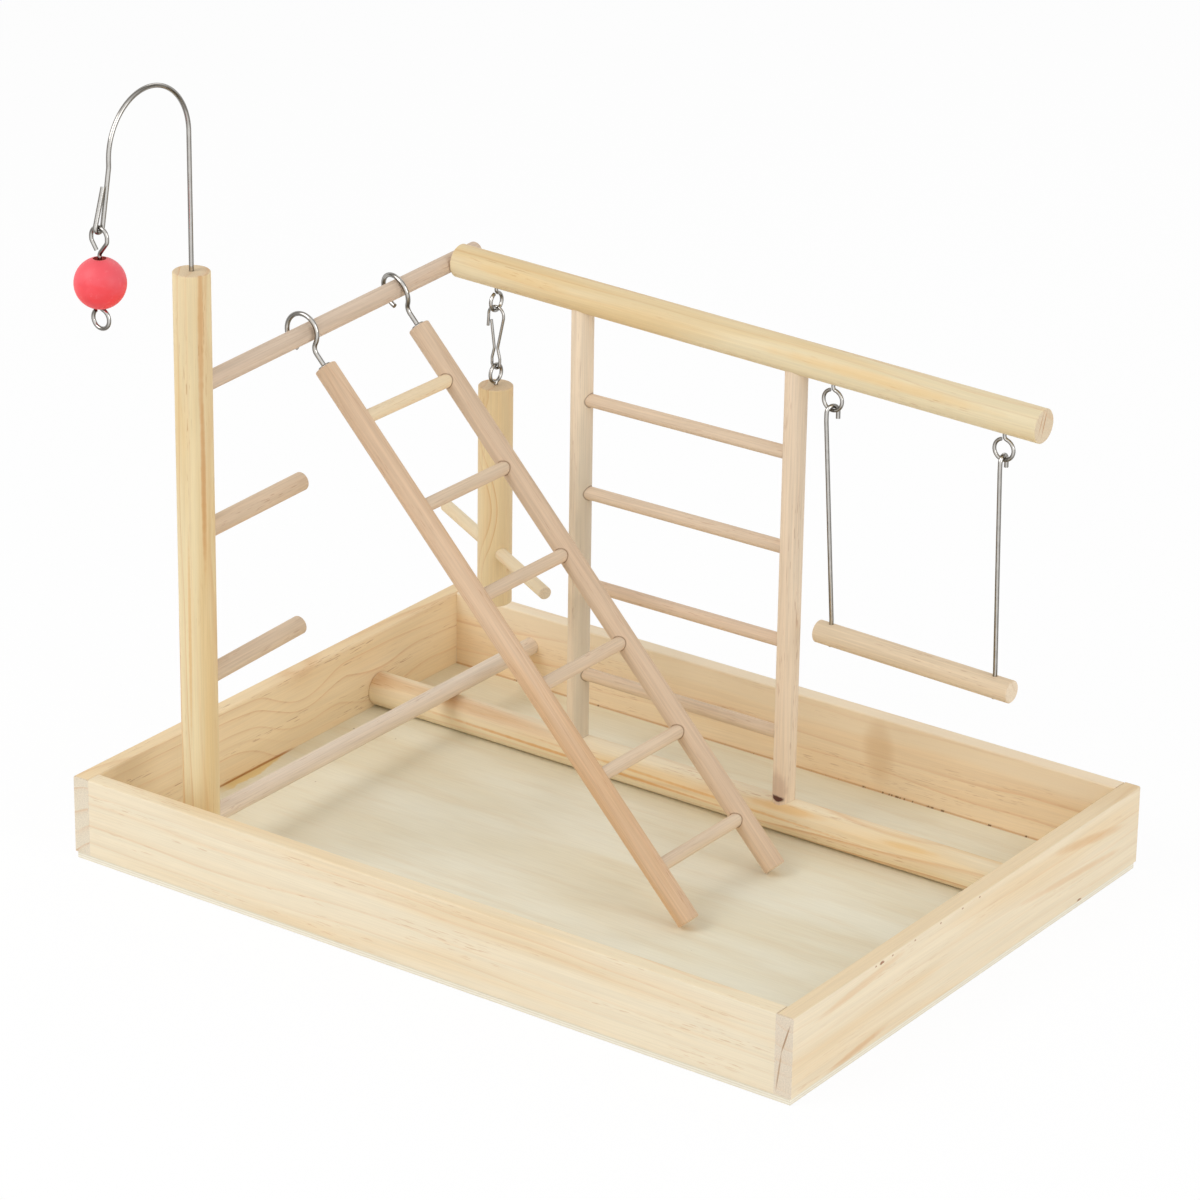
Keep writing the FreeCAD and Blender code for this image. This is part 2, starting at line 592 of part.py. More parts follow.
bead_hook_points = [
    hook_top + Vector(BEAD_HOOK_TIP_INSET - hook_side, 0, -BEAD_HOOK_TIP_DROP),
    hook_top + Vector(-hook_side, 0, -BEAD_HOOK_SIDE_DROP),
    hook_top + Vector(-hook_side, 0, 0),
    hook_top + Vector(hook_side, 0, 0),
    hook_top + Vector(hook_side, 0, -BEAD_HOOK_SIDE_DROP),
    hook_top + Vector(0, 0, -BEAD_HOOK_SIDE_DROP - BEAD_HOOK_RETURN),
    bead_centre,
]
bead_hook_radii = [BEAD_HOOK_EASE, hook_side, hook_side, BEAD_HOOK_EASE, BEAD_HOOK_EASE]
bead_loop = loop_with_neck(BEAD_EYE_RADIUS, BEAD_EYE_NECK_RADIUS, BEAD_EYE_CLOSING_DEG,
                           bead_centre.z - bead_eye_centre.z)
bead_loop = [edge.translated(bead_eye_centre) for edge in bead_loop]
bead_wire = bent_wire(route(bead_hook_points, bead_hook_radii) + bead_loop, BEAD_WIRE)
red_bead = Part.makeSphere(BEAD_DIAMETER / 2, bead_centre)
bore_reach = up * BEAD_DIAMETER
red_bead = red_bead.cut(cylinder(bead_centre - bore_reach, bead_centre + bore_reach, BEAD_BORE))

# Ladder: its cup hooks lie round the top cross perch and its feet stand on the panel
front_rail_y = LADDER_MIDDLE_Y - LADDER_RAIL_PITCH / 2
back_rail_y = LADDER_MIDDLE_Y + LADDER_RAIL_PITCH / 2
at_front = top_cross_axis(front_rail_y)
at_back = top_cross_axis(back_rail_y)
skew = Vector((at_back.x - at_front.x) / 2, 0, (at_back.z - at_front.z) / 2)
rest = Vector(math.cos(math.radians(CUP_REST_DEG)), 0, math.sin(math.radians(CUP_REST_DEG)))
back_twist = math.radians(CUP_BACK_TURN_DEG)
twisted_radius = CUP_RING_RADIUS * math.cos(back_twist)
play = twisted_radius - CUP_WIRE / 2 - CROSS_PERCH_DIAMETER / 2 - CUP_REST_GAP
cross_skew = abs(rest.dot(skew))
offset = math.sqrt(cross_skew ** 2 - skew.dot(skew) + play ** 2) - cross_skew
ring_centre = (at_front + at_back) * 0.5 - rest * offset
ladder_reach = CUP_RING_REACH + ladder_rail_length
ladder_rise = ring_centre.z - PANEL_THICKNESS - LADDER_FOOT_GAP
foot_half = LADDER_RAIL_DIAMETER / 2 - DOWEL_BEVEL
foot_slant = math.hypot(ladder_reach, foot_half)
foot_angle = math.atan2(foot_half, ladder_reach)
lean = foot_angle + math.acos(ladder_rise / foot_slant)
climb = Vector(-math.sin(lean), 0, math.cos(lean))
rail_head = ring_centre - climb * CUP_RING_REACH
rail_foot = rail_head - climb * ladder_rail_length
across = Vector(0, LADDER_RAIL_PITCH / 2, 0)
ladder_front_rail = dowel(rail_foot - across, rail_head - across, LADDER_RAIL_DIAMETER)
ladder_back_rail = dowel(rail_foot + across, rail_head + across, LADDER_RAIL_DIAMETER)
rung_half = Vector(0, (LADDER_RAIL_PITCH - LADDER_RAIL_DIAMETER) / 2 + LADDER_RUNG_SEAT, 0)
ladder_rungs = []
for index in range(LADDER_RUNG_COUNT):
    centre = rail_foot + climb * (LADDER_RUNG_FIRST + index * LADDER_RUNG_PITCH)
    rung_reach = rung_half + Vector(0, GLUE_GAP, 0)
    drill = cylinder(centre - rung_reach, centre + rung_reach, LADDER_RUNG_DIAMETER + 2 * GLUE_GAP)
    ladder_front_rail = ladder_front_rail.cut(drill)
    ladder_back_rail = ladder_back_rail.cut(drill)
    ladder_rungs.append(dowel(centre - rung_half, centre + rung_half, LADDER_RUNG_DIAMETER))


def cup_hook():
    """Hook with a flange: shank up the Z axis from the wood at the origin, neck bend, open ring."""
    neck_drop = math.sqrt((CUP_RING_RADIUS + CUP_NECK_RADIUS) ** 2 - CUP_NECK_RADIUS ** 2)
    neck_z = CUP_RING_REACH - neck_drop
    meet_deg = math.degrees(math.atan2(neck_drop, CUP_NECK_RADIUS))
    shank = Part.LineSegment(Vector(0, 0, 0), Vector(0, 0, neck_z)).toShape()
    neck = arc_xz(CUP_NECK_RADIUS, neck_z, CUP_NECK_RADIUS, 180, 180 - meet_deg)
    ring = arc_xz(0, CUP_RING_REACH, CUP_RING_RADIUS, -meet_deg, CUP_RING_SWEEP_DEG - meet_deg)
    wire = bent_wire([shank, neck, ring], CUP_WIRE)
    thread = cylinder(Vector(0, 0, -CUP_THREAD), Vector(0, 0, 0), CUP_THREAD_DIAMETER)
    edge = CUP_FLANGE_DIAMETER / 2
    half = CUP_FLANGE_THICKNESS / 2
    flange = revolved([(0, 0), (edge, 0), (edge, half), (edge - half, 2 * half), (0, 2 * half)])
    return wire.fuse([thread, flange]).removeSplitter()


lean_back = FreeCAD.Rotation(Vector(0, 1, 0), -math.degrees(lean))
thread_reach = climb * (CUP_THREAD + GLUE_GAP)
thread_hole = CUP_THREAD_DIAMETER + 2 * GLUE_GAP
ladder_front_hook = cup_hook()
ladder_front_hook.Placement = FreeCAD.Placement(rail_head - across, lean_back)
front_pilot = cylinder(rail_head - across - thread_reach, rail_head - across, thread_hole)
ladder_front_rail = ladder_front_rail.cut(front_pilot)
twist = FreeCAD.Rotation(up, CUP_BACK_TURN_DEG)
ladder_back_hook = cup_hook()
ladder_back_hook.Placement = FreeCAD.Placement(rail_head + across, lean_back * twist)
back_pilot = cylinder(rail_head + across - thread_reach, rail_head + across, thread_hole)
ladder_back_rail = ladder_back_rail.cut(back_pilot)

nodes = {
    "tray_base_panel": base_panel,
    "tray_front_board": front_board,
    "tray_back_board": back_board,
    "tray_left_board": left_board,
    "tray_right_board": right_board,
    "base_rail": base_rail,
    "base_screws": base_screws,
    "front_post": front_post,
    "low_cross_perch": low_cross_perch,
    "top_cross_perch": top_cross_perch,
    "upper_stub_perch": upper_stub_perch,
    "lower_stub_perch": lower_stub_perch,
    "main_perch": main_perch,
    "perch_screw": perch_screw,
    "left_upright": left_upright,
    "right_upright": right_upright,
    "toy_hook_wire": toy_hook_wire,
    "bead_wire": bead_wire,
    "red_bead": red_bead,
    "hanger_screw_eye": hanger_screw_eye,
    "snap_clip": snap_clip,
    "post_screw_eye": post_screw_eye,
    "hanging_post": hanging_post,
    "hanging_cross_stick": hanging_cross_stick,
    "swing_left_eye": swing_left_eye,
    "swing_right_eye": swing_right_eye,
    "swing_left_wire": swing_left_wire,
    "swing_right_wire": swing_right_wire,
    "swing_bar": swing_bar,
    "ladder_front_rail": ladder_front_rail,
    "ladder_back_rail": ladder_back_rail,
    "ladder_front_hook": ladder_front_hook,
    "ladder_back_hook": ladder_back_hook,
}
for index, rung in enumerate(back_rungs):
    nodes["back_rung_" + str(index + 1)] = rung
for index, rung in enumerate(ladder_rungs):
    nodes["ladder_rung_" + str(index + 1)] = rung

os.makedirs("parts", exist_ok=True)
for name, shape in nodes.items():
    box = shape.BoundBox
    print(name, shape.isValid(), len(shape.Solids), round(shape.Volume, 1),
          [round(value, 2) for value in (box.XMin, box.YMin, box.ZMin, box.XMax, box.YMax, box.ZMax)])
    shape.exportStep("parts/" + name + ".step")

for label, point in (
    ("clip pivot", clip_pivot),
    ("hanging post pivot", clip_foot),
    ("swing left pivot", swing_pivot(swing_left_x)),
    ("swing right pivot", swing_pivot(swing_right_x)),
    ("bead wire pivot", bead_pivot),
    ("bead centre", bead_centre),
    ("top cross perch at front hook", at_front),
    ("top cross perch at back hook", at_back),
):
    print(label, [round(value, 3) for value in point])
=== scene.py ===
import math
from functools import partial, partialmethod

import bmesh
import bpy
import numpy as np
from mathutils import Matrix, Vector


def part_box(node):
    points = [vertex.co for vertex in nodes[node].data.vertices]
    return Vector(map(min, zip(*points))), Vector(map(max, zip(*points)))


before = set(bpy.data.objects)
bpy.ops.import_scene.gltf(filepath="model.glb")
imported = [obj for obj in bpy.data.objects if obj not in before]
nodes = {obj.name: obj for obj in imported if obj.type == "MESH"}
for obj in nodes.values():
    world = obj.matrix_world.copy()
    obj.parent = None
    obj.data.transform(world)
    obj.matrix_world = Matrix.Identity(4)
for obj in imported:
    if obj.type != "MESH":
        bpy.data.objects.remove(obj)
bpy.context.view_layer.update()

# Looks of a tabletop play stand for parrots: pine boards and posts, pinkish thin dowels, a pale plywood
# floor, bright nickel-plated wire and a red painted bead. Lengths are in metres.

# Camera
CAMERA_AZIMUTH_DEG = 35.347
CAMERA_ELEVATION_DEG = 22.877
CAMERA_ROLL_DEG = 0.859
CAMERA_TARGET = Vector((-0.0330, 0.03784, 0.11838))
CAMERA_DISTANCE = 2.45515
CAMERA_LENS_MM = 150.356
CAMERA_SENSOR_MM = 36.0

# Light
AMBIENT_LEVEL = 0.76  # strength of the dim light from the sides and below
AMBIENT_ABOVE = 0.41  # and from straight above
WHITE = (1, 1, 1, 1)
LAMP_DISTANCE = 1.7
LAMPS = (
    # name, azimuth, elevation, share of full daylight, width
    ("key_lamp", -28, 40, 0.35, 1.0),
    ("fill_lamp", 82, 24, 0.25, 1.1),
    ("back_lamp", 190, 44, 0.10, 0.9),
)

# Floor
FLOOR_SIZE = 14.0
FLOOR_DROP = 0.0003
FLOOR_GLOW = 0.92  # share of its own light in what the eye sees of it, the rest is lit and shaded
FLOOR_GLOW_STRENGTH = 1.012
FLOOR_DARK, FLOOR_LIGHT = (0.90, 0.90, 0.90, 1), (0.93, 0.93, 0.93, 1)
FLOOR_SPECKLE = 900.0  # noise scale, per metre


def colour(red, green, blue):
    """Linear colour of a display colour given from 0 to 255."""
    shares = (red / 255, green / 255, blue / 255)
    linear = [((s + 0.055) / 1.055) ** 2.4 if s > 0.04045 else s / 12.92 for s in shares]
    return (*linear, 1.0)


class Graph:
    """A node tree and short calls that add its nodes. Values may be numbers, colours or sockets."""

    # Sockets of the mix node that carry colours
    MIX_SHARE, MIX_FIRST, MIX_SECOND, MIX_RESULT = 0, 6, 7, 2

    def __init__(self, tree):
        self.tree = tree

    def add(self, kind, inputs=None, **settings):
        node = self.tree.nodes.new(kind)
        for key, value in settings.items():
            setattr(node, key, value)
        for key, value in (inputs or {}).items():
            self.feed(node.inputs[key], value)
        return node

    def feed(self, socket, value):
        if isinstance(value, bpy.types.NodeSocket):
            self.tree.links.new(value, socket)
        else:
            socket.default_value = value

    def maths(self, operation, first, second=0.0, clamp=False):
        inputs = {0: first, 1: second}
        return self.add("ShaderNodeMath", inputs, operation=operation, use_clamp=clamp).outputs[0]

    plus = partialmethod(maths, "ADD")
    minus = partialmethod(maths, "SUBTRACT")
    times = partialmethod(maths, "MULTIPLY")

    def vector(self, operation, first, second=(0.0, 0.0, 0.0)):
        node = self.add("ShaderNodeVectorMath", {0: first, 1: second}, operation=operation)
        return node.outputs["Value" if operation in ("LENGTH", "DOT_PRODUCT") else "Vector"]

    def parts(self, vector):
        """The x, y and z of a vector."""
        return self.add("ShaderNodeSeparateXYZ", {0: vector}).outputs

    def noise(self, place, scale, detail, roughness=0.5):
        inputs = {"Vector": place, "Scale": scale, "Detail": detail, "Roughness": roughness}
        return self.add("ShaderNodeTexNoise", inputs).outputs[0]

    def between(self, value, low, high, start=0.0, end=1.0):
        """Value brought from low..high to start..end with soft ends."""
        inputs = {"Value": value, "From Min": low, "From Max": high, "To Min": start, "To Max": end}
        return self.add("ShaderNodeMapRange", inputs, interpolation_type="SMOOTHSTEP").outputs[0]

    def mix(self, share, first, second, blend="MIX"):
        inputs = {self.MIX_SHARE: share, self.MIX_FIRST: first, self.MIX_SECOND: second}
        node = self.add("ShaderNodeMix", data_type="RGBA", blend_type=blend)
        for key, value in inputs.items():
            self.feed(node.inputs[key], value)
        return node.outputs[self.MIX_RESULT]

    def ramp(self, value, stops):
        node = self.add("ShaderNodeValToRGB", {0: value})
        elements = node.color_ramp.elements
        while len(elements) < len(stops):
            elements.new(0.5)
        for element, (position, shade) in zip(elements, stops):
            element.position = position
            element.color = shade
        return node.outputs[0]


class Look(Graph):
    """The graph of a new material."""

    def __init__(self, name, roughness, metallic=0.0, specular=0.5):
        self.material = bpy.data.materials.new(name)
        self.material.use_nodes = True
        super().__init__(self.material.node_tree)
        self.shader = self.tree.nodes["Principled BSDF"]
        self.shader.inputs["Roughness"].default_value = roughness
        self.shader.inputs["Metallic"].default_value = metallic
        self.shader.inputs["Specular IOR Level"].default_value = specular
        self.place = self.add("ShaderNodeTexCoord").outputs["Object"]

    def stretched(self, scales, detail=3.0, roughness=0.5):
        """Noise with its own scale, per metre, along x, y and z."""
        return self.noise(self.vector("MULTIPLY", self.place, scales), 1.0, detail, roughness)

    def bump(self, height, strength, depth):
        inputs = {"Height": height, "Strength": strength, "Distance": depth}
        self.feed(self.shader.inputs["Normal"], self.add("ShaderNodeBump", inputs).outputs[0])

    def finish(self, base):
        self.feed(self.shader.inputs["Base Color"], base)
        return self.material


def dress(node, material):
    """Gives a carried-over node its material."""
    mesh = nodes[node].data
    mesh.materials.clear()
    mesh.materials.append(material)


def centre_of(node):
    low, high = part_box(node)
    return (low + high) / 2


def long_axis(node):
    """Unit direction in which a node is longest."""
    points = np.array([vertex.co for vertex in nodes[node].data.vertices])
    spread = np.linalg.eigh(np.cov((points - points.mean(0)).T))
    return Vector(spread[1][:, -1])


def half_length(node, axis):
    """Half of a node's length along the axis."""
    reach = [vertex.co.dot(axis) for vertex in nodes[node].data.vertices]
    return (max(reach) - min(reach)) / 2


# Woods: colours of early and late wood, clouds, dashes and end grain, the width of a ring, and the
# strength of rings, clouds, dashes, fibres and the rings on end grain
PINE = dict(early=colour(247, 233, 205), late=colour(228, 178, 116), cloud=colour(240, 208, 158),
            dash=colour(206, 156, 100), end=colour(238, 225, 205), ring=0.0085, rings=0.50, clouds=0.40,
            dashes=0.40, fibre=0.05, end_rings=1.0, roughness=0.62)
PINE_WARM = dict(early=colour(250, 232, 200), late=colour(216, 158, 94), cloud=colour(240, 205, 152),
                 dash=colour(172, 118, 72), end=colour(238, 228, 210), ring=0.0085, rings=0.60,
                 clouds=0.32, dashes=0.55, fibre=0.05, end_rings=1.0, roughness=0.60)
PINE_DOWEL = dict(early=colour(243, 226, 186), late=colour(214, 152, 82), cloud=colour(234, 196, 130),
                  dash=colour(190, 130, 76), end=colour(232, 211, 178), ring=0.0062, rings=0.70,
                  clouds=0.55, dashes=0.45, fibre=0.06, end_rings=0.9, roughness=0.55)
THIN = dict(early=colour(231, 210, 184), late=colour(206, 172, 138), cloud=colour(218, 186, 154),
            dash=colour(176, 128, 98), end=colour(240, 222, 200), ring=0.0042, rings=0.20, clouds=0.34,
            dashes=0.42, fibre=0.11, end_rings=0.5, roughness=0.68)
PALE = THIN | dict(early=colour(243, 226, 202), late=colour(220, 188, 154), cloud=colour(232, 206, 176))
WOOD_SPECULAR = 0.3

# Noise in wood: scale along and across the grain, per metre, and detail
BOW_GRAIN = (5.0, 24.0, 2.0)
FADE_GRAIN = (5.0, 50.0, 2.0)
CLOUD_GRAIN = (5.0, 55.0, 3.0)
FIBRE_GRAIN = (30.0, 1500.0, 3.0)
BAND_GRAIN = (9.0, 330.0, 2.0)
DASH_GRAIN = (120.0, 1900.0, 1.0)
CROWD_GRAIN = (14.0, 160.0, 2.0)
SEED_STEP = (0.37, 0.11, 0.07)  # how far one seed is from the next in the noise

# Rings: how far noise bows them, how unevenly they are spaced, and their tone from one to the next
BOW_DEPTH = 0.016
SPACING_SCALE, SPACING_RINGS = 110.0, 1.9
RING_TONES = ((0.0, 0.0), (0.42, 0.04), (0.76, 0.28), (0.93, 1.0), (1.0, 0.0))
RING_WEAKEST, RING_VARIED = 0.3, 0.7

# Ranges of noise, each followed by the strengths it is brought to where they aren't 0 and 1
FADE_RANGE = (0.32, 0.66, 0.35, 1.0)
CLOUD_RANGE = (0.44, 0.68)
FIBRE_RANGE = (0.33, 0.67)
DASH_RANGE = (0.60, 0.70)
CROWD_RANGE = (0.50, 0.66)
SAWN_RANGE = (0.3, 0.7, 0.90, 1.04)
FIBRE_SHARE, BAND_SHARE = 0.6, 0.4  # parts of fine and broad fibres in the streaks
FIBRE_LIFT = 0.5  # how much fibres brighten for what they darken
CROWD_ON_RINGS = 0.6  # how much dashes gather on late wood
END_START, END_FULL = 0.0005, 0.0001  # depth at which end grain begins and is full
FIBRE_RELIEF, RING_RELIEF = 0.7, 0.3
WOOD_BUMP = (0.2, 0.0003)  # strength and depth


def wood(node, look, pith, seed, tilt=(1.5, 0.8), tone=(255, 255, 255), swells=(), marks=()):
    """Sawn or turned wood: rings about a pith line beside the piece, clouds, fibres, dashes and end grain.
    The pith's place is across the piece and its tilt, in degrees, draws the rings out to long arches.
    Swells push the rings aside: each is a centre, radii and a height."""
    axis = long_axis(node)
    if axis.dot(Vector((1, -1, 1))) < 0:
        axis = -axis
    turn = axis.to_track_quat("X", "Z").to_euler()
    graph = Look("wood_" + node, roughness=look["roughness"], specular=WOOD_SPECULAR)
    local = graph.add("ShaderNodeMapping", {"Vector": graph.place, "Location": centre_of(node),
                                            "Rotation": turn}, vector_type="TEXTURE").outputs[0]
    shifted = graph.vector("ADD", local, tuple(seed * step for step in SEED_STEP))

    def grained(along, across, detail):
        return graph.noise(graph.vector("MULTIPLY", shifted, (along, across, across)), 1.0, detail)

    slant = (math.radians(tilt[0]), math.radians(tilt[1]))
    skewed = graph.add("ShaderNodeMapping", {"Vector": local, "Location": (0, -pith[0], -pith[1]),
                                             "Rotation": (0, slant[0], slant[1])}).outputs[0]
    radius = graph.vector("LENGTH", graph.vector("MULTIPLY", skewed, (0, 1, 1)))
    bow = graph.times(graph.minus(grained(*BOW_GRAIN), 0.5), BOW_DEPTH)
    radius = graph.plus(radius, bow)
    for centre, radii, height in swells:
        share = graph.vector("DIVIDE", graph.vector("SUBTRACT", graph.place, centre), radii)
        push = graph.between(graph.vector("LENGTH", share), 1.0, 0.0, 0.0, height)
        radius = graph.plus(radius, push)
    spacing = graph.add("ShaderNodeCombineXYZ", {0: graph.times(radius, SPACING_SCALE), 1: seed}).outputs[0]
    uneven = graph.times(graph.noise(spacing, 1.0, 1.0), SPACING_RINGS)
    count = graph.plus(graph.maths("DIVIDE", radius, look["ring"]), uneven)
    tones = [(position, (level, level, level, 1)) for position, level in RING_TONES]
    ring = graph.ramp(graph.maths("FRACT", count), tones)
    year = graph.add("ShaderNodeTexWhiteNoise", {"W": graph.maths("FLOOR", count)},
                     noise_dimensions="1D").outputs["Value"]
    ring = graph.times(ring, graph.plus(graph.times(year, RING_VARIED), RING_WEAKEST))
    ring = graph.times(ring, graph.between(grained(*FADE_GRAIN), *FADE_RANGE))

    cloud = graph.between(grained(*CLOUD_GRAIN), *CLOUD_RANGE, 0.0, look["clouds"])
    base = graph.mix(cloud, look["early"], look["cloud"])
    base = graph.mix(graph.times(ring, look["rings"]), base, look["late"])
    fibre = grained(*FIBRE_GRAIN)
    fibres = graph.plus(graph.times(fibre, FIBRE_SHARE), graph.times(grained(*BAND_GRAIN), BAND_SHARE))
    darker, lighter = 1 - look["fibre"], 1 + look["fibre"] * FIBRE_LIFT
    base = graph.mix(1.0, base, graph.between(fibres, *FIBRE_RANGE, darker, lighter), "MULTIPLY")
    dash = graph.between(grained(*DASH_GRAIN), *DASH_RANGE, 0.0, look["dashes"])
    crowd = graph.plus(graph.between(grained(*CROWD_GRAIN), *CROWD_RANGE), graph.times(ring, CROWD_ON_RINGS))
    base = graph.mix(graph.times(dash, crowd, clamp=True), base, look["dash"])

    along = graph.parts(local)[0]
    half = half_length(node, axis)
    end = graph.between(graph.maths("ABSOLUTE", along), half - END_START, half - END_FULL)
    sawn = graph.mix(graph.times(ring, look["end_rings"]), look["end"], look["late"])
    sawn = graph.mix(1.0, sawn, graph.between(fibre, *SAWN_RANGE), "MULTIPLY")
    base = graph.mix(end, base, sawn)
    base = graph.mix(1.0, base, colour(*tone), "MULTIPLY")
    for mark in marks:
        base = mark(graph, base)
    relief = graph.plus(graph.times(fibre, FIBRE_RELIEF), graph.times(ring, RING_RELIEF))
    graph.bump(relief, *WOOD_BUMP)
    dress(node, graph.finish(base))


# Marks are called with the graph and the base colour so far, and return the marked colour
# Painted contact shade: a dark line painted where a dowel enters its hole, standing for the shade in the
# joint
HOLE_SHADOW_COLOUR = colour(112, 74, 46)
HOLE_SHADOW_STRENGTH = 0.58
HOLE_SHADOW_START, HOLE_SHADOW_FULL = 0.0008, 0.0002  # past the dowel's radius
SPOT_EDGE = (1.15, 0.75)  # from where a mark begins to where it is full, in shares of its size
SPOT_GRAIN = 0.6
STREAK_EDGE = (1.3, 0.3)
STREAK_GRAIN = 3


def hole_shadow_line(centre, axis, radius, reach):
    """Mark: painted contact shade, the dark line where a dowel enters its hole, as far as reach from the
    centre.
    """
    def mark(graph, base):
        arm = graph.vector("SUBTRACT", graph.place, tuple(centre))
        away = graph.vector("LENGTH", graph.vector("CROSS_PRODUCT", arm, tuple(axis)))
        depth = graph.maths("ABSOLUTE", graph.vector("DOT_PRODUCT", arm, tuple(axis)))
        near = graph.maths("LESS_THAN", depth, reach)
        rim = graph.between(away, radius + HOLE_SHADOW_START, radius + HOLE_SHADOW_FULL, 0.0, HOLE_SHADOW_STRENGTH)
        return graph.mix(graph.times(rim, near), base, HOLE_SHADOW_COLOUR)
    return mark


def spot(centre, radii, shade, strength, ragged=0.35):
    """Mark: a patch of colour with a soft, uneven edge inside an ellipsoid."""
    def mark(graph, base):
        arm = graph.vector("SUBTRACT", graph.place, centre)
        share = graph.vector("LENGTH", graph.vector("DIVIDE", arm, radii))
        grain = tuple(radius * SPOT_GRAIN for radius in radii)
        rough = graph.noise(graph.vector("DIVIDE", arm, grain), 1.0, 3.0)
        away = graph.plus(share, graph.times(rough, ragged * 2))
        return graph.mix(graph.between(away, *SPOT_EDGE, 0.0, strength), base, shade)
    return mark


def streak(start, end, width, shade, strength, ragged=0.6):
    """Mark: a long band of colour between two points, fading at both ends and uneven along its sides."""
    middle = (Vector(start) + Vector(end)) / 2
    run = Vector(end) - Vector(start)
    axis = run.normalized()

    def mark(graph, base):
        arm = graph.vector("SUBTRACT", graph.place, tuple(middle))
        along = graph.maths("DIVIDE", graph.vector("DOT_PRODUCT", arm, tuple(axis)), run.length / 2)
        side = graph.vector("LENGTH", graph.vector("CROSS_PRODUCT", arm, tuple(axis)))
        side = graph.maths("DIVIDE", side, width)
        away = graph.plus(graph.times(along, along), graph.times(side, side))
        rough = graph.noise(graph.vector("DIVIDE", arm, (width * STREAK_GRAIN,) * 3), 1.0, 3.0)
        away = graph.plus(away, graph.times(rough, ragged))
        return graph.mix(graph.between(away, *STREAK_EDGE, 0.0, strength), base, shade)
    return mark


def moved(origin, point):
    return tuple(start + step for start, step in zip(origin, point))


def streaks(origin, rows):
    """Streaks with ends given from an origin. A row is both ends, width, shade, strength and raggedness."""
    return [streak(moved(origin, start), moved(origin, end), *rest) for start, end, *rest in rows]


def spots(origin, rows):
    """Spots with centres given from an origin. A row is centre, radii, shade, strength and raggedness."""
    return [spot(moved(origin, centre), *rest) for centre, *rest in rows]


# Tray boards
PANEL_TOP = 0.0036
BACK_FACE_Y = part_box("tray_back_board")[0].y
LEFT_FACE_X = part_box("tray_left_board")[1].x
RIGHT_FACE_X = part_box("tray_right_board")[1].x
FRONT_FACE_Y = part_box("tray_right_board")[0].y
TRAY_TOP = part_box("tray_right_board")[1].z

# Glue where the boards meet the floor: width of lines from their edge to full, and shades
GLUE_LINE = (0.0012, 0.0003)
SEAM_SHADE, SEAM_STRENGTH = colour(200, 146, 74), 0.5
SEAM_DOT_LINE = (0.0009, 0.0004)
SEAM_DOT_GRAIN = (420.0, 60.0, 60.0)
SEAM_DOT_CROWD = (-0.06, 0.10, 0.65, 0.575)  # from x to x, and the noise above which a dot shows
SEAM_DOT_EDGE = 0.05
SEAM_DOT_SHADE, SEAM_DOT_STRENGTH = colour(112, 74, 36), 0.8
GLUE_GRAIN = (180.0, 110.0, 180.0)
GLUE_BACK, GLUE_FRONT = (0.010, -0.006), (-0.062, -0.046)  # y from none to full at its two ends
GLUE_WIDENS = (0.010, -0.034, 0.0004)  # from y to y, and the spread it starts with
GLUE_EVEN = 0.4  # share of the spread that noise doesn't change
GLUE_EDGE = (-0.0004, 0.0012)
GLUE_SHADE, GLUE_DEEP_SHADE, GLUE_STRENGTH = colour(238, 204, 118), colour(176, 104, 40), 0.7
GLUE_ON_BOARD, GLUE_ON_FLOOR = 0.0014, 0.0065  # how far it spreads


def seam_mark(graph, base):
    """Mark: the thin, dotted seam of glue where the back board meets the floor."""
    x, y, z = graph.parts(graph.place)
    rise = graph.maths("ABSOLUTE", graph.minus(z, PANEL_TOP))
    back = graph.maths("ABSOLUTE", graph.minus(y, BACK_FACE_Y))
    away = graph.plus(rise, back)
    line = graph.times(graph.between(away, *GLUE_LINE), SEAM_STRENGTH)
    base = graph.mix(line, base, SEAM_SHADE)
    dots = graph.stretched(SEAM_DOT_GRAIN)
    crowd = graph.between(x, *SEAM_DOT_CROWD)
    dark = graph.between(graph.minus(dots, crowd), 0.0, SEAM_DOT_EDGE, 0.0, SEAM_DOT_STRENGTH)
    return graph.mix(graph.times(dark, graph.between(away, *SEAM_DOT_LINE)), base, SEAM_DOT_SHADE)


def glue_mark(graph, base, spread):
    """Mark: yellow-brown glue pressed out as far as spread where the left board meets the floor."""
    x, y, z = graph.parts(graph.place)
    rise = graph.maths("ABSOLUTE", graph.minus(z, PANEL_TOP))
    inward = graph.maths("ABSOLUTE", graph.minus(x, LEFT_FACE_X))
    away = graph.plus(rise, inward)
    rough = graph.stretched(GLUE_GRAIN)
    front = graph.between(y, *GLUE_WIDENS, spread)
    reach = graph.times(front, graph.plus(rough, GLUE_EVEN))
    here = graph.times(graph.between(y, *GLUE_BACK), graph.between(y, *GLUE_FRONT))
    share = graph.times(graph.between(graph.minus(reach, away), *GLUE_EDGE), here)
    base = graph.mix(graph.times(share, GLUE_STRENGTH), base, GLUE_SHADE)
    deep = graph.times(graph.between(away, *GLUE_LINE, 0.0, GLUE_STRENGTH), here)
    return graph.mix(deep, base, GLUE_DEEP_SHADE)


PALE_BAND_GRAIN = (6.0, 20.0, 30.0)
PALE_BAND_DRIFT = 0.016
PALE_BAND_RISE = (0.038, 0.043, 0.0, 0.6)  # from height to height, and strength
PALE_BAND_COLOUR = colour(248, 232, 204)
# Painted shade on the tops of the boards: depth below the top where it begins and where it is full
TOP_SHADE_START, TOP_SHADE_FULL = 0.0006, 0.0002


def pale_top_band_mark(graph, base):
    """Mark: the back board's paler band along its top."""
    rise = graph.parts(graph.place)[2]
    drift = graph.stretched(PALE_BAND_GRAIN, 2.0)
    level = graph.plus(rise, graph.times(drift, PALE_BAND_DRIFT))
    return graph.mix(graph.between(level, *PALE_BAND_RISE), base, PALE_BAND_COLOUR)


